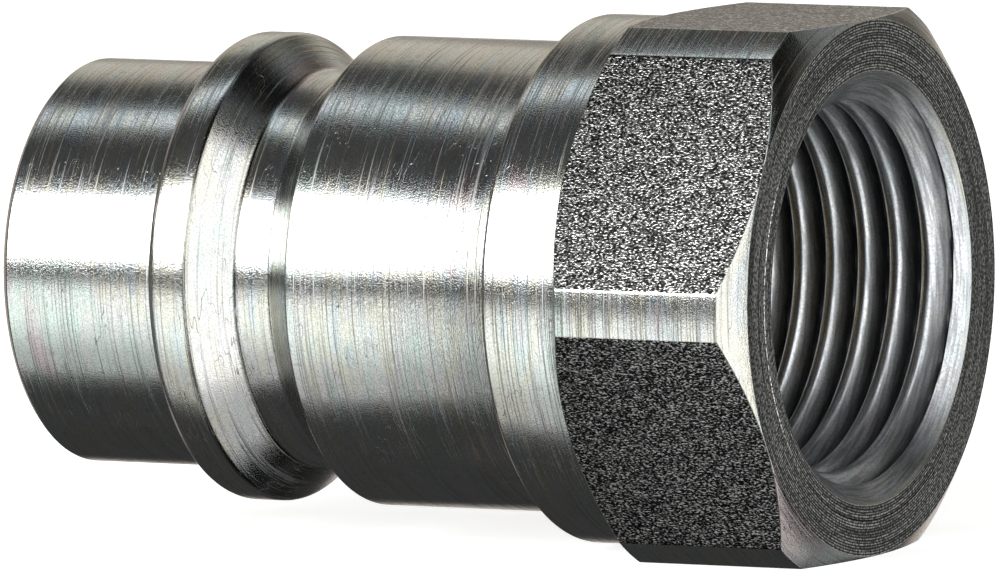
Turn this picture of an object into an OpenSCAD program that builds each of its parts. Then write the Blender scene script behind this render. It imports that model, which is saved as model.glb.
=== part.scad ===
// Male tip of a hydraulic quick disconnect coupler, with the poppet valve that closes it.
// Millimetres. X runs along the coupler: nose at -X, threaded port at +X. Z is up, square to a hexagon flat.
// The origin is on the axis, halfway along the body.

/* [Body] */
// Overall length, nose face to port face
body_len = 44.3; // [36.5:0.1:53.5]
// Diameter of the nose, which enters the socket's seal
nose_d = 20.5; // [17.1:0.05:24.6]
// Length from the nose face to the locking ridge
nose_len = 9.2; // [7.7:0.1:11]
// Height of the locking ridge over the nose
ridge_h = 1.625; // [1.35:0.025:1.95]
// Width of the locking ridge
ridge_w = 2.25; // [1.9:0.05:2.7]
// Depth of the locking groove below the ridge
groove_h = 1.875; // [1.55:0.025:2.25]
// Width of the locking groove at its bottom
groove_w = 2.05; // [1.7:0.05:2.45]
// How far the hexagon's flats stand over the barrel, both sides together
hex_over = 3.25; // [2.7:0.05:3.9]
// How much is turned off each corner of the hexagon
corner_cut = 0.64; // [0.5:0.02:0.78]
// Length of the hexagon
hex_len = 11.1; // [9.2:0.1:13.3]
// Length of the collar beside the hexagon
collar_len = 4.05; // [3.4:0.05:4.85]

/* [Port] */
// Major diameter of the female pipe thread
thread_d = 20.95; // [17.5:0.05:25.1]
// Pitch of the thread
pitch = 1.814; // [1.5:0.001:2.18]
// Depth of the threaded bore from the port face
thread_len = 12; // [10:0.1:14.4]
// How much wider than the thread the countersink is
mouth_over = 0.85; // [0.7:0.05:1.05]

/* [Valve] */
// Wall round the valve chamber where the body is thinnest
chamber_wall = 1.6; // [1.3:0.05:1.95]
// Width of the valve's cone seat, across one side
seat_w = 1.8; // [1.5:0.05:2.2]
// Travel of the poppet
stroke = 4.5; // [3.7:0.1:5.4]
// Diameter of the poppet's stem
stem_d = 4; // [3.3:0.1:4.8]
// Thickness of the O-ring's cord
cord_d = 1.78; // [1.48:0.02:2.14]
// Thickness of the spring's wire
wire_d = 1.1; // [0.9:0.05:1.35]
// Working turns of the spring
spring_turns = 7; // [5:0.5:8.5]

/* [Hidden] */
$fn = 96;

// Stations along X
x_nose = -body_len / 2;
x_port = body_len / 2;
x_hex = x_port - hex_len;
x_collar = x_hex - collar_len;
x_ridge = x_nose + nose_len;
x_ridge_back = x_ridge + ridge_w;
x_groove = x_ridge_back + groove_h;
x_groove_back = x_groove + groove_w;
x_barrel = x_groove_back + groove_h;

// Radii of the outside
nose_r = nose_d / 2;
barrel_r = nose_r + ridge_h;
groove_r = barrel_r - groove_h;
hex_flat_r = barrel_r + hex_over / 2;
hex_corner_r = hex_flat_r / cos(30) - corner_cut;
collar_step = 0.175;
collar_r = hex_flat_r - collar_step;

// Edges: chamfers and rounds, and the angle between the hexagon's chamfers and its end faces
nose_edge = 0.3;
step_edge = 0.15;
ridge_foot = 0.6 * ridge_h;
ridge_round = 0.35 * ridge_h;
groove_round = 0.3 * groove_h;
chamfer_angle = 34;
hex_chamfer = (hex_corner_r - hex_flat_r) * tan(chamfer_angle);

// Thread: one ring for each turn, cut from a bore at the minor diameter, with flanks of 27.5 degrees
thread_r = thread_d / 2;
thread_h = 0.6403 * pitch;
flank = 27.5;
minor_r = thread_r - thread_h;
thread_root = 0.15 * pitch;
thread_open = thread_root + 2 * thread_h * tan(flank);
thread_first = 0.47 * pitch;
thread_rings = floor((thread_len - thread_first - thread_open / 2) / pitch) + 1;
mouth_r = thread_r + mouth_over / 2;
x_thread = x_port - thread_len;

// Bores of the valve chamber. The seat is a 45 degree cone behind a short lip. The guide sits in a pocket
// that is wider than the chamber by its shoulder, and goes in through the thread with some room to spare.
shoulder = 0.4;
entry_room = 0.4;
chamber_r = min(min(nose_r, groove_r) - chamber_wall, minor_r - entry_room - shoulder);
pocket_r = chamber_r + shoulder;
nose_bore_r = chamber_r - seat_w;
lip_len = 1.6;
x_seat = x_nose + lip_len;
bore_end = 0.5;

// Poppet, O-ring and retainer, placed back from the seat
cord_r = cord_d / 2;
seal_gap = 0.05;
seal_side = 0.04;
seal_inset = 0.25;
seal_r = nose_bore_r - seal_inset;
x_seal = x_seat - seal_inset + (cord_r + seal_gap) * sqrt(2);
flange_t = 0.6;
flange_gap = 0.4;
flange_r = nose_bore_r - flange_gap;
x_flange = x_seal - cord_r - seal_side - flange_t;
hub_r = seal_r - cord_r - seal_side;
x_retainer = x_seal + cord_r + seal_side;
tip_r = 0.44 * nose_bore_r;
tip_back = 0.3;
x_tip = x_nose + tip_back;
stem_r = stem_d / 2;
stem_edge = 0.3;
flow_gap = 1;
retainer_r = chamber_r - flow_gap;
retainer_t = 1.2;
boss_t = 1;
sleeve_wall = 1.2;
sleeve_r = stem_r + sleeve_wall;
stop_gap = 0.1;

// Snap ring, guide and spring, placed forward from the thread
ring_t = 1;
ring_land = 1.3;
play = 0.05;
x_ring = x_thread - bore_end - ring_land - ring_t;
ring_seat = 0.75;
ring_groove_r = pocket_r + ring_seat;
ring_r = ring_groove_r - play;
ring_cover = 0.9;
ring_in_r = pocket_r - ring_cover;
ring_half_open = 22;
lug_r = 1.2;
lug_path_r = ring_in_r + ring_cover / 2 - lug_r;
lug_hole_r = 0.6;
guide_t = 2.2;
guide_boss = 4;
x_guide = x_ring - play - guide_t;
x_guide_boss = x_guide - guide_boss;
guide_r = pocket_r - play;
hub_wall = 1.5;
guide_hub_r = stem_r + hub_wall;
stem_clearance = 0.05;
rim_w = 0.9;
window_r = guide_r - rim_w;
spoke_w = 2.4;
spokes = 3;
x_sleeve = x_guide_boss - stroke - stop_gap;
stem_out = 0.8;
x_stem = x_guide + guide_t + stem_out;
wire_r = wire_d / 2;
coil_room = 2.3;
coil_r = chamber_r - coil_room;
coil_gap = 0.3;
boss_r = coil_r - wire_r - coil_gap;
x_spring = x_retainer + retainer_t;
spring_gap = 0.02;
closed_pitch = 1.06 * wire_d;
coil_steps = 20;
wire_sides = 8;
over = 1;

// Turns a profile about the coupler's axis. The profile's points are [radius, x].
module turned() {
    rotate([0, 90, 0]) rotate_extrude() children();
}

// A cylinder on the axis from x0 to x1.
module rod(x0, x1, r) {
    translate([x0, 0, 0]) rotate([0, 90, 0]) cylinder(h = x1 - x0, r = r);
}

// A cone on the axis from radius r0 at x0 to r1 at x1.
module taper(x0, x1, r0, r1) {
    translate([x0, 0, 0]) rotate([0, 90, 0]) cylinder(h = x1 - x0, r1 = r0, r2 = r1);
}

// The corner left between two edges and the arc of radius r that blends them.
// p is the corner; a and b are unit vectors along its edges. Added, it is a fillet; cut away, it is a round.
module blend_corner(p, a, b, r) {
    half = acos(a * b) / 2;
    middle = (a + b) / norm(a + b);
    centre = p + middle * r / sin(half);
    run = r / tan(half);
    difference() {
        polygon([p, p + a * run, centre, p + b * run]);
        translate(centre) circle(r = r);
    }
}

// Outline of the nose, ridge, groove, barrel and collar.
module shank_outline() {
    out = [1, 0];
    ahead = [0, 1];
    slope_in = [-1, 1] / sqrt(2);
    slope_out = [1, 1] / sqrt(2);
    difference() {
        union() {
            polygon([
                [0, x_nose],
                [nose_r - nose_edge, x_nose],
                [nose_r, x_nose + nose_edge],
                [nose_r, x_ridge],
                [barrel_r, x_ridge],
                [barrel_r, x_ridge_back],
                [groove_r, x_groove],
                [groove_r, x_groove_back],
                [barrel_r - step_edge, x_barrel - step_edge],
                [barrel_r, x_barrel + step_edge],
                [barrel_r, x_collar],
                [collar_r - step_edge, x_collar],
                [collar_r, x_collar + step_edge],
                [collar_r, x_hex],
                [0, x_hex]
            ]);
            blend_corner([nose_r, x_ridge], out, -ahead, ridge_foot);
            blend_corner([groove_r, x_groove], ahead, -slope_in, groove_round);
            blend_corner([groove_r, x_groove_back], -ahead, slope_out, groove_round);
        }
        blend_corner([barrel_r, x_ridge], -out, ahead, ridge_round);
        blend_corner([barrel_r, x_ridge_back], -ahead, slope_in, ridge_round);
    }
}

// Hexagon with points to either side, turned over its corners and chamfered at both ends.
module hexagon() {
    intersection() {
        translate([x_hex, 0, 0]) rotate([0, 90, 0]) rotate([0, 0, 30])
            cylinder(h = hex_len, r = hex_flat_r / cos(30), $fn = 6);
        turned() polygon([
            [0, x_hex],
            [hex_flat_r, x_hex],
            [hex_corner_r, x_hex + hex_chamfer],
            [hex_corner_r, x_port - hex_chamfer],
            [hex_flat_r, x_port],
            [0, x_port]
        ]);
    }
}

// The port's bore: countersink, minor-diameter bore and the thread's rings.
module port_bore() {
    rod(x_thread, x_port + over, minor_r);
    taper(x_port - (mouth_r - minor_r), x_port, minor_r, mouth_r);
    for (i = [0:thread_rings - 1]) {
        x = x_port - thread_first - i * pitch;
        turned() polygon([
            [minor_r - thread_h / 2, x - thread_open / 2 - thread_h / 2 * tan(flank)],
            [thread_r, x - thread_root / 2],
            [thread_r, x + thread_root / 2],
            [minor_r - thread_h / 2, x + thread_open / 2 + thread_h / 2 * tan(flank)]
        ]);
    }
}

// The valve's bores, from the nose back to the thread.
module valve_bore() {
    x_chamber = x_seat + seat_w;
    x_shoulder = x_guide - play;
    rod(x_nose - over, x_seat + over, nose_bore_r);
    taper(x_seat, x_chamber, nose_bore_r, chamber_r);
    rod(x_chamber, x_shoulder + over, chamber_r);
    rod(x_shoulder, x_thread - bore_end, pocket_r);
    taper(x_thread - bore_end, x_thread, pocket_r, minor_r);
    rod(x_ring - play, x_ring + ring_t + play, ring_groove_r);
}

module body() {
    color([0.76, 0.77, 0.79]) difference() {
        union() {
            turned() shank_outline();
            hexagon();
        }
        port_bore();
        valve_bore();
    }
}

module poppet() {
    color([0.82, 0.83, 0.85]) turned() polygon([
        [0, x_tip],
        [tip_r - stem_edge, x_tip],
        [tip_r, x_tip + stem_edge],
        [tip_r, x_flange],
        [flange_r - flange_t / 2, x_flange],
        [flange_r, x_flange + flange_t / 2],
        [flange_r, x_flange + flange_t],
        [hub_r, x_flange + flange_t],
        [hub_r, x_retainer],
        [stem_r, x_retainer],
        [stem_r, x_stem - stem_edge],
        [stem_r - stem_edge, x_stem],
        [0, x_stem]
    ]);
}

module poppet_seal() {
    color([0.08, 0.08, 0.09]) turned() translate([seal_r, x_seal]) circle(r = cord_r, $fn = 48);
}

module seal_retainer() {
    color([0.72, 0.6, 0.36]) turned() polygon([
        [stem_r, x_retainer],
        [retainer_r - step_edge, x_retainer],
        [retainer_r, x_retainer + step_edge],
        [retainer_r, x_spring],
        [boss_r, x_spring],
        [boss_r, x_spring + boss_t - step_edge],
        [boss_r - step_edge, x_spring + boss_t],
        [sleeve_r, x_spring + boss_t],
        [sleeve_r, x_sleeve - step_edge],
        [sleeve_r - step_edge, x_sleeve],
        [stem_r, x_sleeve]
    ]);
}

// Middle of the spring's wire along X after a number of turns: one closed turn, the working turns, one closed turn.
function coil_x(turns, start, open_pitch) =
    start + min(turns, 1) * closed_pitch
    + min(max(turns - 1, 0), spring_turns) * open_pitch
    + max(turns - 1 - spring_turns, 0) * closed_pitch;

// A tube swept round the spring's helix.
module valve_spring() {
    start = x_spring + spring_gap + wire_r;
    end = x_guide - spring_gap - wire_r;
    open_pitch = (end - start - 2 * closed_pitch) / spring_turns;
    rings = round((spring_turns + 2) * coil_steps);
    points = [
        for (i = [0:rings]) let (turn = i / coil_steps, x = coil_x(turn, start, open_pitch))
            for (k = [0:wire_sides - 1]) let (side = 360 * k / wire_sides, r = coil_r + wire_r * sin(side))
                [x + wire_r * cos(side), r * cos(360 * turn), r * sin(360 * turn)]
    ];
    walls = [
        for (i = [0:rings - 1]) for (k = [0:wire_sides - 1]) let (next = (k + 1) % wire_sides)
            [i * wire_sides + k, (i + 1) * wire_sides + k, (i + 1) * wire_sides + next, i * wire_sides + next]
    ];
    caps = [
        [for (k = [0:wire_sides - 1]) k],
        [for (k = [0:wire_sides - 1]) rings * wire_sides + wire_sides - 1 - k]
    ];
    color([0.6, 0.6, 0.62]) polyhedron(points, concat(walls, caps), convexity = 10);
}

module valve_guide() {
    color([0.74, 0.62, 0.38]) difference() {
        union() {
            rod(x_guide_boss, x_guide + guide_t, guide_hub_r);
            difference() {
                rod(x_guide, x_guide + guide_t, guide_r);
                rod(x_guide - over, x_guide + guide_t + over, window_r);
            }
            for (i = [0:spokes - 1]) rotate([360 * i / spokes, 0, 0])
                translate([x_guide, -spoke_w / 2, 0])
                    cube([guide_t, spoke_w, window_r + rim_w / 2]);
        }
        rod(x_guide_boss - over, x_guide + guide_t + over, stem_r + stem_clearance);
    }
}

// The ring's outline, with its opening and the two lugs at the bottom. The outline's first axis ends up along -Z.
module ring_outline() {
    ends = [-ring_half_open, ring_half_open];
    difference() {
        union() {
            difference() {
                circle(r = ring_r);
                circle(r = ring_in_r);
                polygon([[0, 0], for (side = ends) 2 * ring_r * [cos(side), sin(side)]]);
            }
            for (side = ends) rotate(side) translate([lug_path_r, 0]) circle(r = lug_r);
        }
        for (side = ends) rotate(side) translate([lug_path_r, 0]) circle(r = lug_hole_r);
    }
}

module snap_ring() {
    color([0.35, 0.36, 0.38]) translate([x_ring, 0, 0]) rotate([0, 90, 0])
        linear_extrude(height = ring_t) ring_outline();
}

body();
poppet();
poppet_seal();
seal_retainer();
valve_spring();
valve_guide();
snap_ring();
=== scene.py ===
"""Looks of the quick disconnect coupler tip, built round its CAD frame.

Metres. X runs along the coupler: nose at -X, threaded port at +X. Z is up, square to a hexagon flat.
"""

import math

import bpy
import numpy as np
from bpy.props import FloatProperty, FloatVectorProperty, IntProperty, PointerProperty
from mathutils import Matrix, Vector


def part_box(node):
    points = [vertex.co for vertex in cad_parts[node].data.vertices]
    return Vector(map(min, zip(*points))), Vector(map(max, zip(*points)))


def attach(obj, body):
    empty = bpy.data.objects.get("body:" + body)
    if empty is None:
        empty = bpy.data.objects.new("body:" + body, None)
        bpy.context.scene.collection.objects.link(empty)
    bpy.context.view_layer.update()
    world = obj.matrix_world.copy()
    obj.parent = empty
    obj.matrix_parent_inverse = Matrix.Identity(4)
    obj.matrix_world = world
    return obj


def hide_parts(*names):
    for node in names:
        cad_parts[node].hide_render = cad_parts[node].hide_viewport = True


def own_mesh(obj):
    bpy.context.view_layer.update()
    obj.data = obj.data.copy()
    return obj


bl_info = {
    "name": "Coupler tip",
    "version": (1, 0, 0),
    "blender": (4, 5, 0),
    "location": "View3D > Sidebar > Coupler",
    "description": "Builds the visible pieces of a quick disconnect coupler tip",
    "category": "Add Mesh",
}

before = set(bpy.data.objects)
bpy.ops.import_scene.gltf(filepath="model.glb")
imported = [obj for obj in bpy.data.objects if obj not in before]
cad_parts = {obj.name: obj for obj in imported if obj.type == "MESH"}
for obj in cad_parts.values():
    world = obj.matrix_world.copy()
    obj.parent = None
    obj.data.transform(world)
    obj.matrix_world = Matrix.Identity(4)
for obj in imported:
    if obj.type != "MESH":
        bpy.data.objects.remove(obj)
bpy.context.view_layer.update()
BODY_LOW, BODY_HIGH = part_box("body")
GUIDE_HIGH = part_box("valve_guide")[1]
RING_LOW, RING_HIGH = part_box("snap_ring")
POPPET_LOW, POPPET_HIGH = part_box("poppet")
SEAL_LOW, SEAL_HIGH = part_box("poppet_seal")
RETAINER_LOW, RETAINER_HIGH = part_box("seal_retainer")
SPRING_LOW, SPRING_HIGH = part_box("valve_spring")
COUPLER, VALVE = "coupler_body", "poppet_valve"
MM = 0.001
# Thread: angle of a flank, and pitches from the port face to the first groove
FLANK, FIRST_TURN = math.radians(27.5), 0.47
# Degrees from a corner of the hexagon to the end of its turned strip
STRIP_HALF = 4.7


def length(name, default, description):
    """A size in metres, shown in the scene's units."""
    return FloatProperty(name=name, description=description, default=default, min=0.0,
                         unit="LENGTH", subtype="DISTANCE", precision=5)


def tint(name, default, description):
    """A colour that a user may change."""
    return FloatVectorProperty(name=name, description=description, default=default, size=3,
                               min=0.0, max=1.0, subtype="COLOR")


def turn(name, default, description):
    """An angle, kept in radians and given here in degrees."""
    return FloatProperty(name=name, description=description, default=math.radians(default),
                         unit="ROTATION", subtype="ANGLE")


class CouplerShankSizes(bpy.types.PropertyGroup):
    """Sizes of the turned outside, from the nose to the collar."""

    nose_radius: length("Nose radius", 0.01025, "Radius of the nose, which enters the socket's seal")
    nose_length: length("Nose length", 0.0092, "From the nose face to the locking ridge")
    ridge_radius: length("Ridge radius", 0.011875, "Radius of the locking ridge and of the barrel")
    ridge_width: length("Ridge width", 0.00225, "Width of the locking ridge")
    groove_depth: length("Groove depth", 0.001875, "Depth of the locking groove, and run of its slopes")
    groove_width: length("Groove width", 0.00205, "Width of the locking groove at its bottom")
    collar_radius: length("Collar radius", 0.013325, "Radius of the collar beside the hexagon")
    collar_length: length("Collar length", 0.00405, "Length of the collar beside the hexagon")
    edge: length("Edge break", 0.00007, "Size of the small round on each turned edge")


class CouplerHexSizes(bpy.types.PropertyGroup):
    """Sizes of the hexagon."""

    flat: length("Flat radius", 0.0135, "From the axis to a flat")
    corner: length("Corner radius", 0.014948, "Radius that the corners are turned to")
    length: length("Hexagon length", 0.0111, "Length of the hexagon")
    chamfer: turn("Chamfer angle", 34.0, "Between a chamfer and the end face beside it")


class CouplerPortSizes(bpy.types.PropertyGroup):
    """Sizes of the threaded port and the bores behind it."""

    major: length("Major radius", 0.010475, "Radius at the thread's roots")
    height: length("Thread height", 0.0011615, "Radial height of the thread")
    pitch: length("Pitch", 0.001814, "Advance of the thread in one turn")
    mouth: length("Mouth radius", 0.0109, "Radius of the countersink at the port face")
    depth: length("Thread depth", 0.012, "Depth of the threaded bore")
    face_line: length("Face line radius", 0.01167, "Radius of the fine line turned on the port face")
    pocket: length("Pocket radius", 0.0088, "Radius of the pocket that holds the valve guide")
    chamber: length("Chamber radius", 0.0084, "Radius of the valve chamber")
    nose_bore: length("Nose bore radius", 0.0066, "Radius of the opening that the poppet closes")
    seat_depth: length("Seat depth", 0.0016, "From the nose face to the cone of the seat")


class CouplerSpringSizes(bpy.types.PropertyGroup):
    """Sizes of the valve spring."""

    wire: length("Wire radius", 0.00055, "Radius of the spring's wire")
    turns: FloatProperty(name="Working turns", description="Turns that are free to close", default=7.0,
                         min=2.0, max=12.0)
    sides: IntProperty(name="Sides", description="Faces round the wire", default=12, min=6, max=24)


class CouplerFinishes(bpy.types.PropertyGroup):
    """Colours of the finishes."""

    zinc: tint("Zinc", (0.7, 0.7, 0.685), "Turned steel with a clear zinc plate")
    # The peened ground is the zinc plate given a far darker colour: painted shade
    peened: tint("Peened zinc", (0.011, 0.0115, 0.0115), "Dull ground between the bright specks of the flats")
    # The port face is the zinc plate given a far darker colour: painted shade
    face: tint("Port face", (0.045, 0.045, 0.044), "Faced end of the port")
    # The bore is the zinc plate given a lighter colour than the outside's: painted light on the inside
    bore: tint("Bore", (0.8, 0.82, 0.85), "Plated inside of the port")
    valve: tint("Valve steel", (0.5, 0.49, 0.47), "Machined poppet")
    brass: tint("Brass", (0.72, 0.5, 0.2), "Valve guide and seal retainer")
    rubber: tint("Rubber", (0.016, 0.016, 0.017), "O-ring")
    wire: tint("Spring wire", (0.5, 0.48, 0.44), "Drawn stainless wire")
    phosphate: tint("Phosphate", (0.06, 0.058, 0.055), "Dark phosphated snap ring")
    floor: tint("Floor", (0.86, 0.86, 0.85), "Pale floor")


class CouplerStage(bpy.types.PropertyGroup):
    """Camera and light."""

    azimuth: turn("Azimuth", 27.5, "Camera's turn about Z from the coupler's side towards the port")
    elevation: turn("Elevation", 6.25, "Camera's height over the horizon")
    roll: turn("Roll", -1.1, "Turn of the picture about the line of sight")
    distance: length("Distance", 1.35, "From the port face to the camera")
    right: length("Right of centre", 0.01865, "How far right of the picture's centre the port face stands")
    lens: FloatProperty(name="Lens", description="Focal length", default=970.0, unit="CAMERA")
    strip: FloatProperty(name="Strip light", description="Strength of the long light in front", default=7.0)


# ---------------------------------------------------------------- surfaces


def link(mesh_object):
    """Puts a new object in the scene."""
    bpy.context.scene.collection.objects.link(mesh_object)
    return mesh_object


def grid_faces(rows, columns, close_rows, close_columns):
    """Four corners of every cell of a grid of points, wrapping round where a side is closed."""
    i = np.arange(rows if close_rows else rows - 1)
    j = np.arange(columns if close_columns else columns - 1)
    i, j = np.meshgrid(i, j, indexing="ij")
    a, b = (i + 1) % rows, (j + 1) % columns
    cells = np.stack([i * columns + j, i * columns + b, a * columns + b, a * columns + j], -1)
    return cells.reshape(-1, 4)


def make_mesh(name, points, faces, finishes, which=None, sharp=24.0, caps=()):
    """A mesh from points and four-sided faces, smooth but for edges that turn by more than sharp degrees."""
    mesh = bpy.data.meshes.new(name)
    flat = points.reshape(-1, 3)
    sizes = np.full(len(faces), 4)
    loops = faces.reshape(-1)
    if len(caps):
        sizes = np.concatenate([sizes, [len(c) for c in caps]])
        loops = np.concatenate([loops] + [np.asarray(c) for c in caps])
    mesh.vertices.add(len(flat))
    mesh.vertices.foreach_set("co", flat.astype(np.float32).ravel())
    mesh.loops.add(len(loops))
    mesh.loops.foreach_set("vertex_index", loops.astype(np.int32))
    mesh.polygons.add(len(sizes))
    mesh.polygons.foreach_set("loop_start", (np.cumsum(sizes) - sizes).astype(np.int32))
    mesh.polygons.foreach_set("use_smooth", np.ones(len(sizes), bool))
    if which is not None:
        mesh.polygons.foreach_set("material_index", which.astype(np.int32))
    mesh.update(calc_edges=True)
    mesh.validate()
    for finish in finishes:
        mesh.materials.append(finish)
    mesh.set_sharp_from_angle(angle=math.radians(sharp))
    return link(bpy.data.objects.new(name, mesh))


def rounded(corners, radii, steps):
    """Replaces each corner of an outline by an arc.

    corners is (corners, columns, 2). An arc is the rational quadratic curve between the two points where
    it leaves the outline's edges, with the sine of half the corner's angle as its middle weight, which
    makes it part of a circle. It takes at most 45% of an edge. Gives the rows and each row's corner.
    """
    before, after = np.roll(corners, 1, 0) - corners, np.roll(corners, -1, 0) - corners
    run_in, run_out = np.linalg.norm(before, axis=2), np.linalg.norm(after, axis=2)
    to_in, to_out = before / run_in[..., None], after / run_out[..., None]
    half = np.arccos(np.clip((to_in * to_out).sum(2), -1, 1)) / 2
    reach = np.minimum(np.asarray(radii)[:, None] / np.tan(half), 0.45 * np.minimum(run_in, run_out))
    rows, owner = [], []
    for k, count in enumerate(steps):
        if count == 0:
            rows.append(corners[k][None])
            owner += [k]
            continue
        t = np.linspace(0, 1, count + 1)[:, None]
        weight = 2 * np.sin(half[k])[None] * t * (1 - t)
        start = corners[k] + to_in[k] * reach[k][:, None]
        end = corners[k] + to_out[k] * reach[k][:, None]
        total = (1 - t) ** 2 + weight + t**2
        rows.append((((1 - t) ** 2)[..., None] * start + weight[..., None] * corners[k]
                     + (t**2)[..., None] * end) / total[..., None])
        owner += [k] * (count + 1)
    return np.concatenate(rows), np.array(owner)


def about_axis(outline, angle):
    """Points of an outline (x, radius) at each angle about X, which starts at +Y and turns towards +Z."""
    x, radius = outline[..., 0], outline[..., 1]
    return np.stack([x, radius * np.cos(angle), radius * np.sin(angle)], -1)


def turned_piece(name, outline, finish, body, node, columns=128, closed=True):
    """A lathe piece: an outline of (x, radius, round, steps) turned about the coupler's axis.

    A closed outline makes a ring. An open one runs from the axis to the axis, and its ends are the poles.
    """
    outline = np.array(outline, float)
    angle = np.linspace(0, 2 * np.pi, columns, endpoint=False)
    corners = np.repeat(outline[:, None, :2], columns, 1)
    rows, _ = rounded(corners, outline[:, 2], outline[:, 3].astype(int))
    points = about_axis(rows, angle)
    faces = grid_faces(len(rows), columns, closed, True)
    caps = () if closed else (np.arange(columns)[::-1], (len(rows) - 1) * columns + np.arange(columns))
    piece = make_mesh(name, points, faces, [finish], caps=caps)
    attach(piece, body)
    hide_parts(node)
    return piece


def corner_angles():
    """Angles about the axis, closest together beside the edges of the hexagon's turned corners."""
    spans = [(-30, -5.2, 14), (-5.2, -4.0, 6), (-4.0, 4.0, 8), (4.0, 5.2, 6), (5.2, 30, 14)]
    sixth = np.concatenate([np.linspace(a, b, n, endpoint=False) for a, b, n in spans])
    return np.radians((sixth[None] + 60 * np.arange(6)[:, None]).ravel()), np.tile(sixth, 6)


def hexagon_radius(from_corner, size):
    """Radius of the hexagon: the lower of a flat's distance and the turned corner's, softly joined.

    A flat's radius is its distance over the cosine of the angle from its middle, and the soft lower of a
    and b is half of a + b - sqrt((a - b)^2 + k^2).
    """
    flat = size.flat / np.cos(np.radians(30 - np.abs(from_corner)))
    k = 0.03 * MM
    return (flat + size.corner - np.sqrt((flat - size.corner) ** 2 + k**2)) / 2


def soft_clamp(share, k=0.16):
    """A share held between 0 and 1, with both ends of the clamp rounded over about k."""
    return (np.sqrt(share**2 + k**2) - np.sqrt((share - 1) ** 2 + k**2) + 1) / 2


def port_surface(x, angle, x_port, size):
    """Radius of the threaded bore at x: the thread, the countersink's cone, whichever is wider.

    The distance to the nearest groove is x less the helix's advance, wrapped to half a pitch each way.
    A clamp with soft ends turns it into the share of the flank, and the radius falls by that share of
    the height. The thread fades out before the bore's end.
    """
    root, run = 0.05 * size.pitch / 2, size.height * math.tan(FLANK)
    first = x_port - FIRST_TURN * size.pitch
    away = x - first - size.pitch * angle / (2 * np.pi)
    away = np.abs((away / size.pitch + 0.5) % 1 - 0.5) * size.pitch
    share = soft_clamp((away - root) / run) / soft_clamp((size.pitch / 2 - root) / run)
    fade = np.clip((x - (x_port - size.depth) - 0.4 * MM) / (0.9 * MM), 0, 1)
    minor = size.major - size.height
    thread = minor + size.height * (1 - share) * fade * fade * (3 - 2 * fade)
    cone = size.mouth - (x_port - x)
    k = 0.05 * MM
    return (thread + cone + np.sqrt((thread - cone) ** 2 + k**2)) / 2


def helix_tube(x_start, x_end, coil, wire, turns, sides, steps=56):
    """A spring: a circle of the wire's radius carried along a helix whose first and last turns lie closed.

    The advance per turn rises from 1.06 wire diameters to the working pitch by a smooth step over half a
    turn. Its running sum, scaled between the ends, is the place along X. The ends are ground flat by
    holding every point between the end planes.
    """
    total = turns + 2
    t = np.linspace(0, total, int(total * steps) + 1)
    near = np.clip((np.minimum(t, total - t) - 0.75) / 0.5, 0, 1)
    open_share = near * near * (3 - 2 * near)
    closed = 2.12 * wire
    share_sum = np.concatenate([[0], np.cumsum((open_share[1:] + open_share[:-1]) / 2 * np.diff(t))])
    span = (x_end - x_start) - 2 * wire * 0.55
    working = (span - closed * total) / share_sum[-1]
    x = x_start + wire * 0.55 + closed * t + working * share_sum
    angle = 2 * np.pi * t
    ring = np.linspace(0, 2 * np.pi, sides, endpoint=False)
    radius = coil + wire * np.cos(ring)[None]
    along = x[:, None] + wire * np.sin(ring)[None]
    along = np.clip(along, x_start, x_end)
    points = np.stack([along, radius * np.cos(angle)[:, None], radius * np.sin(angle)[:, None]], -1)
    return points


# ---------------------------------------------------------------- finishes


class Nodes:
    """A node tree, with short calls that add one node and join its inputs."""

    def __init__(self, tree):
        self.tree = tree

    def add(self, kind, inputs=(), **settings):
        """A node, with its settings and its inputs, each of them a number or another node's output."""
        node = self.tree.nodes.new(kind)
        for key, value in settings.items():
            setattr(node, key, value)
        for key, value in dict(inputs).items():
            self.set(node.inputs[key], value)
        return node

    def set(self, socket, value):
        """Joins an output to a socket, or sets the socket to a constant."""
        if isinstance(value, bpy.types.NodeSocket):
            self.tree.links.new(value, socket)
        else:
            socket.default_value = value

    def math(self, operation, a, b=0.0, clamp=False):
        """The result of a sum on two numbers or outputs."""
        return self.add("ShaderNodeMath", {0: a, 1: b}, operation=operation, use_clamp=clamp).outputs[0]

    def multiply_add(self, value, by, plus):
        """Value times by, and plus added."""
        return self.add("ShaderNodeMath", {0: value, 1: by, 2: plus}, operation="MULTIPLY_ADD").outputs[0]

    def between(self, value, low, high, to_low=0.0, to_high=1.0, **settings):
        """Value moved from low..high to to_low..to_high, and held there."""
        return self.add("ShaderNodeMapRange", {"Value": value, "From Min": low, "From Max": high,
                                               "To Min": to_low, "To Max": to_high}, **settings).outputs[0]

    def blend(self, share, a, b, kind="MIX"):
        """Colour a taken towards b by a share."""
        node = self.add("ShaderNodeMix", data_type="RGBA", blend_type=kind)
        for socket, value in ((node.inputs[0], share), (node.inputs[6], a), (node.inputs[7], b)):
            self.set(socket, value)
        return node.outputs[2]


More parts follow.
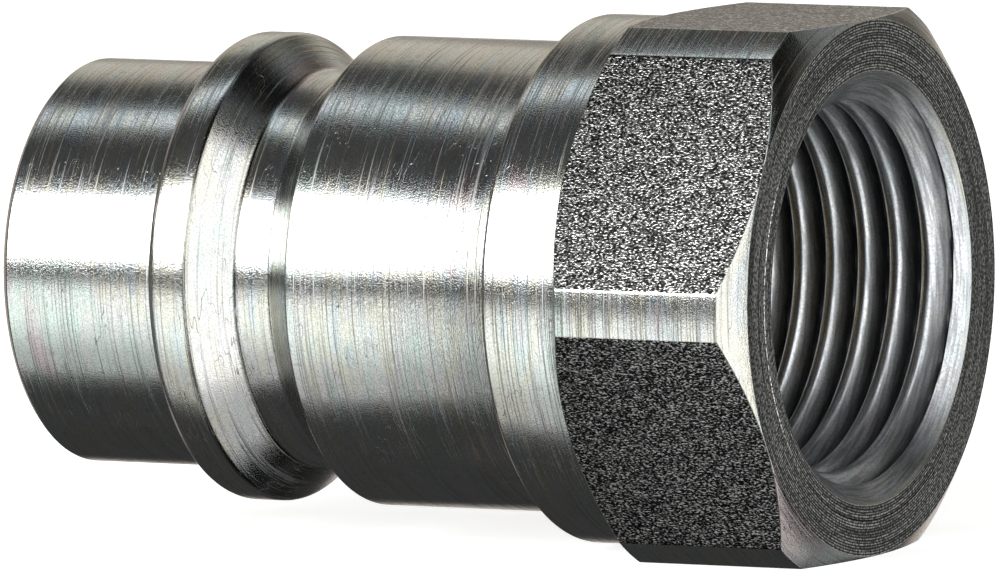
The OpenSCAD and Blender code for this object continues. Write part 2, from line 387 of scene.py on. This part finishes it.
class Finish(Nodes):
    """A material's nodes, and the calls that place patterns on the coupler."""

    def __init__(self, name):
        self.material = bpy.data.materials.new(name)
        self.material.use_nodes = True
        super().__init__(self.material.node_tree)
        self.shader = self.tree.nodes["Principled BSDF"]
        self.place = self.add("ShaderNodeTexCoord").outputs["Object"]

    def scaled(self, x, y, z, turned=0.0):
        """Place in millimetres times a scale along each axis."""
        return self.add("ShaderNodeMapping", {"Vector": self.place, "Scale": (x / MM, y / MM, z / MM),
                                              "Rotation": (0, 0, turned)}).outputs[0]

    def rings(self, per_mm):
        """Place for rings on a face square to X: distance from the axis, with a slow drift round it."""
        flat = self.add("ShaderNodeVectorMath", {0: self.place, 1: (0, 1 / MM, 1 / MM)},
                        operation="MULTIPLY").outputs[0]
        far = self.add("ShaderNodeVectorMath", {0: flat}, operation="LENGTH").outputs["Value"]
        far = self.math("MULTIPLY", far, per_mm)
        drift = self.add("ShaderNodeVectorMath", {0: flat, 1: (0, 0.12, 0.12)},
                         operation="MULTIPLY").outputs[0]
        across = self.add("ShaderNodeCombineXYZ", {"X": far}).outputs[0]
        return self.add("ShaderNodeVectorMath", {0: across, 1: drift}, operation="ADD").outputs[0]

    def noise(self, where, scale=1.0, detail=2.0, rough=0.5):
        """Smooth noise of 0..1."""
        return self.add("ShaderNodeTexNoise", {"Vector": where, "Scale": scale, "Detail": detail,
                                               "Roughness": rough}).outputs["Fac"]

    def tints(self, where, stops):
        """Colours along a slow noise."""
        ramp = self.add("ShaderNodeValToRGB", {"Fac": self.noise(where, 1.0, 3.0, 0.6)})
        marks = ramp.color_ramp.elements
        marks[0].position, marks[0].color = stops[0][0], (*stops[0][1], 1)
        marks[1].position, marks[1].color = stops[-1][0], (*stops[-1][1], 1)
        for spot, colour in stops[1:-1]:
            marks.new(spot).color = (*colour, 1)
        return ramp.outputs["Color"]

    def bump(self, height, depth, over=None):
        """Height of 0..1 raised by a depth in metres."""
        inputs = {"Height": height, "Distance": depth, "Strength": 1.0}
        if over is not None:
            inputs["Normal"] = over
        return self.add("ShaderNodeBump", inputs).outputs[0]

    def done(self, **sockets):
        """Sets the shader's own sockets, whose names have _ for a space, and gives the material."""
        for key, value in sockets.items():
            self.set(self.shader.inputs[key.replace("_", " ")], value)
        return self.material


def rgba(colour):
    """A colour with its alpha."""
    return (*colour, 1.0)


# Pale pinks, greens, blues and straw of a clear passivated zinc plate
PASSIVATED = ((0.3, (1.0, 0.82, 0.87)), (0.4, (0.84, 1.0, 0.93)), (0.47, (0.97, 0.98, 1.0)),
              (0.53, (1.0, 0.98, 0.84)), (0.6, (0.84, 0.95, 1.0)), (0.7, (1.0, 0.84, 0.84)))


def zinc_turned(colour, name="zinc_turned", lines=8.0, line_depth=0.0055, pit_depth=0.0022, dull=0.11):
    """Bright turned zinc: fine lines round the axis, small pits, slow tints, and a few scratches.

    Depths are in millimetres.
    """
    f = Finish(name)
    fine = f.noise(f.scaled(lines, 0.09, 0.09), 1.0, 3.0, 0.6)
    groove = f.between(fine, 0.54, 0.68)
    broad = f.noise(f.scaled(1.1, 0.04, 0.04), 1.0, 2.0, 0.5)
    grain = f.noise(f.scaled(13, 12, 12), 1.0, 2.0, 0.6)
    pits = f.between(grain, 0.36, 0.56)
    spot = f.between(f.noise(f.scaled(1.6, 1.6, 1.6), 1.0, 2.0, 0.6), 0.6, 0.72)
    scratch = f.math("ABSOLUTE", f.math("SUBTRACT", f.noise(f.scaled(2.6, 0.8, 0.35, 0.5), 1.0, 1.0), 0.5))
    rare = f.between(f.noise(f.scaled(0.35, 0.5, 0.5), 1.0, 1.0), 0.56, 0.6)
    scratch = f.math("MULTIPLY", f.between(scratch, 0.0, 0.006, 1.0, 0.0), rare)
    tone = f.blend(0.75, rgba(colour), f.tints(f.scaled(0.3, 0.07, 0.07), PASSIVATED), "MULTIPLY")
    tone = f.blend(f.math("MULTIPLY", groove, 0.42), tone, rgba([c * 0.35 for c in colour]))
    tone = f.blend(f.math("MULTIPLY", f.math("SUBTRACT", 1.0, pits), 0.35), tone,
                   rgba([c * 0.3 for c in colour]))
    tone = f.blend(f.math("MULTIPLY", f.math("MULTIPLY", spot, grain), 0.5), tone,
                   rgba([c * 0.3 for c in colour]))
    tone = f.blend(f.math("MULTIPLY", scratch, 0.7), tone, rgba([c * 0.3 for c in colour]))
    normal = f.bump(groove, line_depth * MM)
    normal = f.bump(broad, 0.006 * MM, normal)
    normal = f.bump(pits, pit_depth * MM, normal)
    normal = f.bump(f.math("SUBTRACT", 1.0, scratch), 0.006 * MM, normal)
    worn = f.math("ADD", groove, f.math("MULTIPLY", grain, 0.5))
    rough = f.between(worn, 0.1, 1.1, dull * 0.75, dull * 2.0)
    streak = f.between(f.noise(f.scaled(lines * 1.3, 0.12, 0.12, 0.03), 1.0, 2.0, 0.6), 0.6, 0.68)
    rough = f.math("ADD", rough, f.math("MULTIPLY", streak, 0.22))
    return f.done(Metallic=1.0, Base_Color=tone, Roughness=rough, Normal=normal)


def zinc_peened(colour, bright):
    """Shot-peened flats: a dark ground that is painted shade, full of tiny bright specks, painted glints,
    that lie along the coupler.
    """
    f = Finish("zinc_peened")
    grain = f.noise(f.scaled(6.5, 13, 13), 1.0, 2.0, 0.45)
    coarse = f.noise(f.scaled(1.4, 1.8, 1.8), 1.0, 2.0, 0.5)
    glint_speck = f.between(f.math("ADD", grain, f.math("MULTIPLY", coarse, 0.12)), 0.455, 0.7)
    glint_speck = f.math("POWER", glint_speck, 3.0)
    cloud = f.between(f.noise(f.scaled(0.25, 0.3, 0.3), 1.0, 2.0), 0.3, 0.7, 0.8, 1.25)
    ground = f.blend(1.0, rgba(colour), f.tints(f.scaled(0.3, 0.3, 0.3), PASSIVATED), "MULTIPLY")
    ground = f.blend(1.0, ground, f.add("ShaderNodeCombineColor", {0: cloud, 1: cloud, 2: cloud}).outputs[0],
                     "MULTIPLY")
    # Painted glints: the specks take a near-white colour over the ground, whose dark colour is painted shade
    tone = f.blend(f.math("MULTIPLY", glint_speck, 0.95), ground, rgba(bright))
    normal = f.bump(grain, 0.02 * MM)
    normal = f.bump(coarse, 0.008 * MM, normal)
    return f.done(Metallic=1.0, Base_Color=tone, Roughness=f.between(glint_speck, 0, 1, 0.3, 0.2), Normal=normal)


def zinc_faced(colour):
    """Port face: the zinc painted dark as shade, with painted highlights along the rings of the facing tool,
    and slight gold, pink and green.
    """
    f = Finish("zinc_faced")
    where = f.rings(1.0)
    far = f.add("ShaderNodeSeparateXYZ", {0: where}).outputs["X"]
    waver = f.math("MULTIPLY", f.noise(where, 0.8, 2.0), 3.0)
    ring = f.math("SINE", f.math("ADD", f.math("MULTIPLY", far, 2 * math.pi / 0.14), waver))
    ring = f.math("ADD", f.math("MULTIPLY", ring, 0.5), 0.5)
    torn = f.between(f.noise(f.rings(6.0), 1.0, 2.0, 0.65), 0.3, 0.7, 0.2, 1.0)
    pits = f.noise(f.scaled(6, 6, 6), 1.0, 2.0, 0.6)
    ring = f.math("MULTIPLY", f.math("MULTIPLY", ring, torn), f.between(pits, 0.42, 0.58, 0.4, 1.9), True)
    stain = f.tints(f.scaled(0.3, 0.22, 0.22), ((0.32, (1.0, 0.84, 0.88)), (0.42, (0.88, 0.93, 1.0)),
                                               (0.52, (1.0, 0.98, 0.88)), (0.6, (0.86, 1.0, 0.92)),
                                               (0.7, (1.0, 0.9, 0.74))))
    tone = f.blend(1.0, rgba(colour), stain, "MULTIPLY")
    # Painted highlights: the tool rings lift the dark face colour up to 22 times, towards white
    tone = f.blend(f.math("POWER", ring, 1.5), tone, rgba([min(1, c * 22) for c in colour]))
    normal = f.bump(ring, 0.006 * MM)
    normal = f.bump(pits, 0.006 * MM, normal)
    return f.done(Metallic=1.0, Base_Color=tone, Roughness=f.between(ring, 0.0, 1.0, 0.36, 0.24),
                  Normal=normal)


def zinc_thread(colour):
    """Cut thread and its countersink: soft gloss, a fine grain, and painted shade darkening the roots below
    the cone.
    """
    f = Finish("zinc_thread")
    grain = f.noise(f.scaled(8, 8, 8), 1.0, 3.0, 0.6)
    drag = f.noise(f.scaled(11, 0.5, 0.5), 1.0, 2.0, 0.5)
    split = f.add("ShaderNodeVectorMath", {0: f.scaled(0, 1, 1)}, operation="LENGTH").outputs["Value"]
    port = bpy.context.scene.coupler_port
    root = f.between(split, (port.major - 0.7 * port.height) / MM, port.major / MM, 0.0, 0.97)
    along = f.add("ShaderNodeSeparateXYZ", {0: f.scaled(1, 1, 1)}).outputs["X"]
    cone = f.math("ADD", along, (port.mouth - BODY_HIGH.x) / MM)
    root = f.math("MULTIPLY", root, f.between(f.math("SUBTRACT", cone, split), -0.2, -0.03, 1.0, 0.0))
    stain = f.blend(0.6, f.tints(f.scaled(0.4, 0.25, 0.25), PASSIVATED), (1, 1, 1, 1))
    tone = f.blend(1.0, rgba(colour), stain, "MULTIPLY")
    tone = f.blend(f.between(drag, 0.42, 0.62, 0.0, 0.75), tone, rgba([c * 0.4 for c in colour]))
    tone = f.blend(f.between(grain, 0.45, 0.65, 0.0, 0.5), tone, rgba([c * 0.4 for c in colour]))
    # Painted shade: the thread's roots below the cone are darkened to 0.06 of the colour
    tone = f.blend(root, tone, rgba([c * 0.06 for c in colour]))
    normal = f.bump(grain, 0.003 * MM)
    normal = f.bump(drag, 0.004 * MM, normal)
    return f.done(Metallic=1.0, Base_Color=tone, Roughness=f.between(grain, 0.3, 0.7, 0.3, 0.42),
                  Normal=normal)


def steel_machined(colour):
    """Machined valve steel with rings on its faces and a light haze."""
    f = Finish("steel_machined")
    ring = f.noise(f.rings(6.0), 1.0, 3.0, 0.6)
    fine = f.noise(f.scaled(9, 0.15, 0.15), 1.0, 2.0, 0.5)
    tone = f.blend(f.between(ring, 0.35, 0.7, 0.0, 0.5), rgba(colour), rgba([c * 0.6 for c in colour]))
    normal = f.bump(fine, 0.003 * MM, f.bump(ring, 0.006 * MM))
    return f.done(Metallic=1.0, Base_Color=tone, Roughness=f.between(fine, 0.3, 0.7, 0.18, 0.3),
                  Normal=normal)


def brass_machined(colour):
    """Turned brass, warm and lightly tarnished."""
    f = Finish("brass_machined")
    ring = f.noise(f.rings(5.0), 1.0, 3.0, 0.6)
    stain = f.noise(f.scaled(0.5, 0.5, 0.5), 1.0, 3.0, 0.6)
    tone = f.blend(f.between(stain, 0.4, 0.7, 0.0, 0.6), rgba(colour),
                   rgba((colour[0] * 0.6, colour[1] * 0.5, colour[2] * 0.45)))
    normal = f.bump(ring, 0.008 * MM)
    return f.done(Metallic=1.0, Base_Color=tone, Roughness=f.between(stain, 0.3, 0.7, 0.2, 0.38),
                  Normal=normal)


def rubber_oiled(colour):
    """Moulded rubber with a film of oil."""
    f = Finish("rubber_oiled")
    skin = f.noise(f.scaled(7, 7, 7), 1.0, 3.0, 0.6)
    film = f.noise(f.scaled(0.7, 0.7, 0.7), 1.0, 2.0)
    tone = f.blend(f.between(film, 0.4, 0.7), rgba(colour), rgba([c * 2.2 for c in colour]))
    return f.done(Base_Color=tone, Roughness=f.between(film, 0.3, 0.7, 0.28, 0.55),
                  Normal=f.bump(skin, 0.01 * MM), Specular_IOR_Level=0.55)


def wire_drawn(colour):
    """Drawn spring wire: long faint die lines and a straw tint."""
    f = Finish("wire_drawn")
    lines = f.noise(f.scaled(10, 1.2, 1.2), 1.0, 3.0, 0.6)
    heat = f.noise(f.scaled(0.4, 0.3, 0.3), 1.0, 2.0)
    tone = f.blend(f.between(heat, 0.35, 0.7, 0.0, 0.7), rgba(colour),
                   rgba((colour[0] * 0.85, colour[1] * 0.7, colour[2] * 0.5)))
    return f.done(Metallic=1.0, Base_Color=tone, Roughness=f.between(lines, 0.3, 0.7, 0.2, 0.34),
                  Normal=f.bump(lines, 0.003 * MM))


def ring_phosphated(colour):
    """Dark phosphate, dull, rubbed brighter in patches."""
    f = Finish("ring_phosphated")
    grain = f.noise(f.scaled(9, 9, 9), 1.0, 3.0, 0.6)
    worn = f.between(f.noise(f.scaled(0.8, 0.8, 0.8), 1.0, 3.0, 0.7), 0.56, 0.68)
    tone = f.blend(worn, rgba(colour), rgba([min(1, c * 4.5) for c in colour]))
    return f.done(Metallic=0.85, Base_Color=tone, Roughness=f.between(grain, 0.3, 0.7, 0.4, 0.62),
                  Normal=f.bump(grain, 0.012 * MM))


# ---------------------------------------------------------------- operators

# Finish of each stretch of the body's outline
TURNED, FACED, SMOOTH_CONE, THREADED, INSIDE, PEENED, RINGED = range(7)


class COUPLER_OT_body(bpy.types.Operator):
    """Add the body: shank, hexagon, threaded port and valve chamber, as one closed surface"""

    bl_idname = "coupler.add_body"
    bl_label = "Body"

    def execute(self, context):
        scene = context.scene
        s, h, p, e = scene.coupler_shank, scene.coupler_hex, scene.coupler_port, scene.coupler_shank.edge
        x_nose, x_port = BODY_LOW.x, BODY_HIGH.x
        x_ridge = x_nose + s.nose_length
        x_back = x_ridge + s.ridge_width
        x_groove = x_back + s.groove_depth
        x_rise = x_groove + s.groove_width
        x_barrel = x_rise + s.groove_depth
        x_hex = x_port - h.length
        x_collar = x_hex - s.collar_length
        groove_r = s.ridge_radius - s.groove_depth
        angle, from_corner = corner_angles()
        across = hexagon_radius(from_corner, h)
        rim = h.flat - 0.03 * MM
        run = (across - rim) * math.tan(h.chamfer)
        minor = p.major - p.height
        end, ring_groove = x_port - p.depth, 9.55 * MM
        x_seat = x_nose + p.seat_depth
        seat = p.chamber - p.nose_bore
        line, nick = p.face_line, 0.035 * MM
        # x, radius, round, steps, finish of the stretch that follows
        outline = [
            (x_nose, p.nose_bore, e, 2, FACED),
            (x_nose, s.nose_radius - 0.3 * MM, e, 2, TURNED),
            (x_nose + 0.3 * MM, s.nose_radius, 0.2 * MM, 3, TURNED),
            (x_ridge, s.nose_radius, 0.975 * MM, 9, TURNED),
            (x_ridge, s.ridge_radius, 0.57 * MM, 7, TURNED),
            (x_back, s.ridge_radius, 0.57 * MM, 5, TURNED),
            (x_groove, groove_r, 0.56 * MM, 5, TURNED),
            (x_rise, groove_r, 0.56 * MM, 5, TURNED),
            (x_barrel, s.ridge_radius, 0.2 * MM, 4, TURNED),
            (x_collar, s.ridge_radius, 0.06 * MM, 2, TURNED),
            (x_collar, s.collar_radius, 0.24 * MM, 5, RINGED),
            (x_hex, s.collar_radius, 0.0, 0, TURNED),
            (x_hex, rim, e, 2, TURNED),
            (x_hex + run, across, e, 3, PEENED),
            (x_port - run, across, e, 3, TURNED),
            (x_port, rim, e, 2, FACED),
            (x_port, line + nick, 0.0, 0, FACED),
            (x_port - nick, line, 0.0, 0, FACED),
            (x_port, line - nick, 0.0, 0, FACED),
            (x_port, p.mouth, e, 3, SMOOTH_CONE),
            (x_port - 0.15 * MM, p.mouth - 0.15 * MM, 0.0, 0, THREADED),
            (end, minor, 0.0, 0, INSIDE),
            (end - 0.5 * MM, p.pocket, 0.0, 0, INSIDE),
            (RING_HIGH.x + 0.05 * MM, p.pocket, 0.0, 0, INSIDE),
            (RING_HIGH.x + 0.05 * MM, ring_groove, 0.0, 0, INSIDE),
            (RING_LOW.x - 0.05 * MM, ring_groove, 0.0, 0, INSIDE),
            (RING_LOW.x - 0.05 * MM, p.pocket, 0.0, 0, INSIDE),
            (GUIDE_HIGH.x - 2.25 * MM, p.pocket, 0.0, 0, INSIDE),
            (GUIDE_HIGH.x - 2.25 * MM, p.chamber, 0.0, 0, INSIDE),
            (x_seat + seat, p.chamber, 0.2 * MM, 2, INSIDE),
            (x_seat, p.nose_bore, 0.1 * MM, 2, INSIDE),
        ]
        corners = np.empty((len(outline), len(angle), 2))
        for k, (x, radius, *_) in enumerate(outline):
            corners[k, :, 0], corners[k, :, 1] = x, radius
        rows, owner = rounded(corners, [c[2] for c in outline], [c[3] for c in outline])
        finish = np.array([c[4] for c in outline])[owner]
        # Where an arc ends, the stretch that follows starts, and inside an arc the finish is TURNED
        last = np.append(owner[1:] != owner[:-1], True)
        finish = np.where(last | (finish == INSIDE), finish, TURNED)
        # The threaded stretch gets rows of its own, between its two corners
        threaded = [c[4] for c in outline].index(THREADED)
        cut = int(np.nonzero(last & (owner == threaded))[0][0]) + 1
        x = np.linspace(outline[threaded][0], end, 202)[1:-1]
        x, turned = np.meshgrid(x, angle, indexing="ij")
        thread = np.stack([x, port_surface(x, turned, x_port, p)], -1)
        rows = np.concatenate([rows[:cut], thread, rows[cut:]])
        finish = np.concatenate([finish[:cut], np.full(len(thread), THREADED), finish[cut:]])
        faces = grid_faces(len(rows), len(angle), True, True)[:, ::-1]
        which = np.repeat(finish, len(angle)).reshape(len(rows), -1)
        strip = np.abs(from_corner) < STRIP_HALF
        on_corner = strip & np.roll(strip, -1)
        which = np.where((which == PEENED) & on_corner[None], RINGED, which)
        colours = scene.coupler_finishes
        zinc = tuple(colours.zinc)
        finishes = [
            zinc_turned(zinc),
            zinc_faced(tuple(colours.face)),
            zinc_turned(zinc, "zinc_cone", 5.0, 0.006, 0.003, 0.4),
            zinc_thread(tuple(colours.bore)),
            # Painted shade: the chamber's walls are the turned zinc at 0.6 of its colour, darker in the
            # recess
            zinc_turned(tuple(0.6 * c for c in zinc), "zinc_inside_painted_shade", 4.0, 0.006, 0.002, 0.26),
            zinc_peened(tuple(colours.peened), (0.95, 0.95, 0.93)),
            zinc_turned(zinc, "zinc_ringed", 12.0, 0.009, 0.002, 0.12),
        ]
        points = about_axis(rows, angle)
        piece = make_mesh("coupler_shell", points, faces, finishes, which.reshape(-1))
        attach(piece, COUPLER)
        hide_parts("body")
        return {"FINISHED"}


class COUPLER_OT_poppet(bpy.types.Operator):
    """Add the poppet, its O-ring and the brass retainer"""

    bl_idname = "coupler.add_poppet"
    bl_label = "Poppet and seal"

    def execute(self, context):
        colours = context.scene.coupler_finishes
        tip, stem_end = POPPET_LOW.x, POPPET_HIGH.x
        tip_r, neck_r, stem_r, pole = 2.904 * MM, 5.42 * MM, 2.0 * MM, 0.02 * MM
        flange = tip + 0.85 * MM
        flange_r = POPPET_HIGH.z
        under = flange + 0.6 * MM
        hub = RETAINER_LOW.x
        edge = 0.08 * MM
        turned_piece("poppet_turned", [
            (tip, pole, 0, 0), (tip, tip_r, 0.15 * MM, 3), (flange, flange_r, 0.12 * MM, 3),
            (under, flange_r, edge, 2), (under, neck_r, 0, 0), (hub, neck_r, 0, 0),
            (hub, stem_r, 0, 0), (stem_end, stem_r, 0.3 * MM, 4), (stem_end, pole, 0, 0),
        ], steel_machined(tuple(colours.valve)), VALVE, "poppet", 160, closed=False)
        low, high = RETAINER_LOW.x, RETAINER_HIGH.x
        plate, boss = low + 1.2 * MM, low + 2.2 * MM
        bore_r, plate_r, boss_r, sleeve_r = 2.02 * MM, 7.4 * MM, 5.25 * MM, 3.2 * MM
        turned_piece("retainer_turned", [
            (low, bore_r, 0, 0), (low, plate_r, edge, 2), (plate, plate_r, edge, 2),
            (plate, boss_r, edge, 2), (boss, boss_r, edge, 2),
            (boss, sleeve_r, 0, 0), (high, sleeve_r, edge, 2), (high, bore_r, 0, 0),
        ], brass_machined(tuple(colours.brass)), VALVE, "seal_retainer", 128)
        cord, seal_r = (SEAL_HIGH.x - SEAL_LOW.x) / 2, 6.35 * MM
        ring, turn_of = np.meshgrid(np.linspace(0, 2 * np.pi, 32, endpoint=False),
                                    np.linspace(0, 2 * np.pi, 128, endpoint=False), indexing="ij")
        outline = np.stack([SEAL_LOW.x + cord - cord * np.cos(ring), seal_r + cord * np.sin(ring)], -1)
        seal = make_mesh("seal_ring", about_axis(outline, turn_of), grid_faces(32, 128, True, True)[:, ::-1],
                         [rubber_oiled(tuple(colours.rubber))])
        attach(seal, VALVE)
        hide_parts("poppet_seal")
        return {"FINISHED"}


class COUPLER_OT_spring(bpy.types.Operator):
    """Add the valve spring"""

    bl_idname = "coupler.add_spring"
    bl_label = "Valve spring"

    def execute(self, context):
        size = context.scene.coupler_spring
        low, high = SPRING_LOW.x, SPRING_HIGH.x
        coil = SPRING_HIGH.z - size.wire
        points = helix_tube(low, high, coil, size.wire, size.turns, size.sides)
        rows, sides = points.shape[:2]
        faces = grid_faces(rows, sides, False, True)
        caps = (np.arange(sides)[::-1], (rows - 1) * sides + np.arange(sides))
        finish = wire_drawn(tuple(context.scene.coupler_finishes.wire))
        piece = make_mesh("spring_wound", points, faces, [finish], caps=caps)
        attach(piece, COUPLER)
        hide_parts("valve_spring")
        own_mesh(piece)
        return {"FINISHED"}


class COUPLER_OT_guide(bpy.types.Operator):
    """Finish the CAD valve guide and snap ring, whose shapes stay as they are"""

    bl_idname = "coupler.finish_guide"
    bl_label = "Guide and snap ring"

    def execute(self, context):
        colours = context.scene.coupler_finishes
        for node, finish in (("valve_guide", brass_machined(tuple(colours.brass))),
                             ("snap_ring", ring_phosphated(tuple(colours.phosphate)))):
            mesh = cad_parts[node].data
            mesh.materials.clear()
            mesh.materials.append(finish)
        return {"FINISHED"}


class COUPLER_OT_stage(bpy.types.Operator):
    """Add the pale floor, the long soft lights and the camera"""

    bl_idname = "coupler.add_stage"
    bl_label = "Stage"

    def execute(self, context):
        scene, stage = context.scene, context.scene.coupler_stage
        self.floor(scene)
        self.lights(scene, stage.strip)
        a, e, r = stage.azimuth, stage.elevation, stage.roll
        back = Vector((math.sin(a) * math.cos(e), -math.cos(a) * math.cos(e), math.sin(e)))
        level = Vector((0, 0, 1)).cross(back).normalized()
        rise = back.cross(level)
        right = level * math.cos(r) + rise * math.sin(r)
        up = rise * math.cos(r) - level * math.sin(r)
        port = Vector((BODY_HIGH.x, 0, 0))
        place = port + back * stage.distance
        sight = (place - (port - right * stage.right)).normalized()
        right = up.cross(sight).normalized()
        up = sight.cross(right)
        camera = bpy.data.objects.new("camera", bpy.data.cameras.new("camera"))
        camera.data.lens, camera.data.sensor_width = stage.lens, 36
        camera.data.clip_start, camera.data.clip_end = 0.05, 20
        camera.matrix_world = Matrix.Translation(place) @ Matrix((right, up, sight)).transposed().to_4x4()
        scene.collection.objects.link(camera)
        scene.camera = camera
        scene.view_settings.view_transform = "Standard"
        scene.view_settings.look = "None"
        return {"FINISHED"}

    def floor(self, scene):
        """A pale round floor that the hexagon's lower flat stands on."""
        angle = np.linspace(0, 2 * np.pi, 96, endpoint=False)
        points = np.stack([5 * np.cos(angle), 5 * np.sin(angle), np.full(96, BODY_LOW.z)], -1)
        f = Finish("floor_pale")
        patch = f.noise(f.scaled(0.02, 0.02, 0.02), 1.0, 3.0)
        colour = scene.coupler_finishes.floor
        tone = f.blend(f.between(patch, 0.3, 0.7), rgba(colour), rgba([c * 0.985 for c in colour]))
        f.done(Base_Color=tone, Roughness=0.7, Specular_IOR_Level=0.2, Emission_Color=(1, 1, 1, 1),
               Emission_Strength=0.75)
        floor = make_mesh("floor", points, np.zeros((0, 4), int), [f.material], caps=[np.arange(96)])
        floor.visible_glossy = False

    def lights(self, scene, strip):
        """Long soft lights beside the coupler: brightness by the angle about X, from the front horizon."""
        scene.world = bpy.data.worlds.new("studio")
        scene.world.use_nodes = True
        n = Nodes(scene.world.node_tree)
        way = n.add("ShaderNodeTexCoord").outputs["Generated"]
        split = n.add("ShaderNodeSeparateXYZ", {0: way})
        x, y, z = (split.outputs[axis] for axis in "XYZ")
        swing = n.math("ARCTAN2", z, n.math("MULTIPLY", y, -1.0))
        ramp = n.add("ShaderNodeValToRGB", {"Fac": n.multiply_add(swing, 0.5 / math.pi, 0.5)})
        # degrees from the front horizon, share of the strip light's strength, colour
        white, blue, cream, brown = (1, 1, 1), (0.88, 0.95, 1), (1, 0.93, 0.82), (1, 0.9, 0.84)
        green = (0.95, 1, 0.98)
        bands = [(-180, 0.1, brown), (-166, 0.1, brown), (-158, 0.006, white), (-80, 0.008, white),
                 (-67, 0.01, white), (-62, 0.1, white), (-50, 0.095, white), (-40, 0.16, green),
                 (-28, 0.235, green), (-9, 0.22, white), (-6, 0.012, white), (6.5, 0.012, white),
                 (9, 1.0, white), (38, 1.0, white), (46.5, 0.012, white), (91, 0.008, white),
                 (93, 0.17, blue), (102, 0.17, blue), (105, 0.01, white), (132, 0.01, white),
                 (138, 0.08, cream), (164, 0.1, cream), (170, 0.05, cream), (180, 0.05, cream)]
        marks = ramp.color_ramp.elements
        while len(marks) < len(bands):
            marks.new(0.5)
        # Every mark is placed before any is coloured, because a mark that moves past another is renumbered
        for mark, (degrees, _, _) in zip(marks, bands):
            mark.position = degrees / 360 + 0.5
        for mark, (_, level, colour) in zip(marks, bands):
            mark.color = (*[level * c for c in colour], 1)

        def upto(value, low, high):
            """1 below low and 0 above high, by a smooth step."""
            return n.between(value, low, high, 1.0, 0.0, interpolation_type="SMOOTHSTEP")

        def past(value, low, high, most=1.0):
            """0 below low and most above high, by a smooth step."""
            return n.between(value, low, high, 0.0, most, interpolation_type="SMOOTHSTEP")

        beyond_nose = upto(x, -0.8, -0.66)
        slant = n.multiply_add(z, 0.2, y)
        pale = 1.2 / strip
        layers = (
            # The room is dim on the port's side
            (past(x, -0.2, 0.1, 0.88), (0, 0, 0)),
            # It is dark past the nose, a little lighter straight past it, and warm on a wall behind it
            (beyond_nose, (0.006, 0.006, 0.006)),
            (upto(x, -0.97, -0.86), (0.026, 0.026, 0.026)),
            (n.math("MULTIPLY", beyond_nose, past(y, 0.15, 0.35)), (0.07, 0.059, 0.054)),
            # A softbox ahead of the port's end
            (n.math("MULTIPLY", upto(slant, 0.0, 0.1), past(x, 0.42, 0.6)), (0.24, 0.24, 0.24)),
            # A low light under the port's side, and a dim one behind it that the port face reflects
            (n.math("MULTIPLY", upto(z, -0.7, -0.62), past(x, 0.36, 0.46)), (0.09, 0.09, 0.09)),
            (n.math("MULTIPLY", past(y, 0.55, 0.75), past(x, 0.1, 0.3)), (0.045, 0.045, 0.044)),
            # What the camera sees past the floor's edge is as pale as the floor
            (n.add("ShaderNodeLightPath").outputs["Is Camera Ray"], (pale, pale, pale)),
        )
        room = ramp.outputs["Color"]
        for share, colour in layers:
            room = n.blend(share, room, rgba(colour))
        sky = n.tree.nodes["Background"]
        n.set(sky.inputs["Color"], room)
        n.set(sky.inputs["Strength"], strip)


class COUPLER_PT_panel(bpy.types.Panel):
    """Lists the coupler's pieces and its stage"""

    bl_idname = "COUPLER_PT_panel"
    bl_label = "Coupler tip"
    bl_space_type = "VIEW_3D"
    bl_region_type = "UI"
    bl_category = "Coupler"

    def draw(self, context):
        scene = context.scene
        for operator in OPERATORS:
            self.layout.operator(operator.bl_idname)
        for name in GROUPS:
            box = self.layout.box()
            group = getattr(scene, name)
            for key in group.bl_rna.properties.keys():
                if key not in ("rna_type", "name"):
                    box.prop(group, key)


GROUPS = {
    "coupler_shank": CouplerShankSizes,
    "coupler_hex": CouplerHexSizes,
    "coupler_port": CouplerPortSizes,
    "coupler_spring": CouplerSpringSizes,
    "coupler_finishes": CouplerFinishes,
    "coupler_stage": CouplerStage,
}
OPERATORS = (COUPLER_OT_body, COUPLER_OT_poppet, COUPLER_OT_spring, COUPLER_OT_guide, COUPLER_OT_stage)


def register():
    for name, group in GROUPS.items():
        bpy.utils.register_class(group)
        setattr(bpy.types.Scene, name, PointerProperty(type=group))
    for operator in OPERATORS:
        bpy.utils.register_class(operator)
    bpy.utils.register_class(COUPLER_PT_panel)


def unregister():
    bpy.utils.unregister_class(COUPLER_PT_panel)
    for operator in reversed(OPERATORS):
        bpy.utils.unregister_class(operator)
    for name, group in reversed(GROUPS.items()):
        delattr(bpy.types.Scene, name)
        bpy.utils.unregister_class(group)


def main():
    """Registers the add-on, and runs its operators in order."""
    register()
    bpy.ops.coupler.add_body()
    bpy.ops.coupler.add_poppet()
    bpy.ops.coupler.add_spring()
    bpy.ops.coupler.finish_guide()
    bpy.ops.coupler.add_stage()


if __name__ == "__main__":
    main()
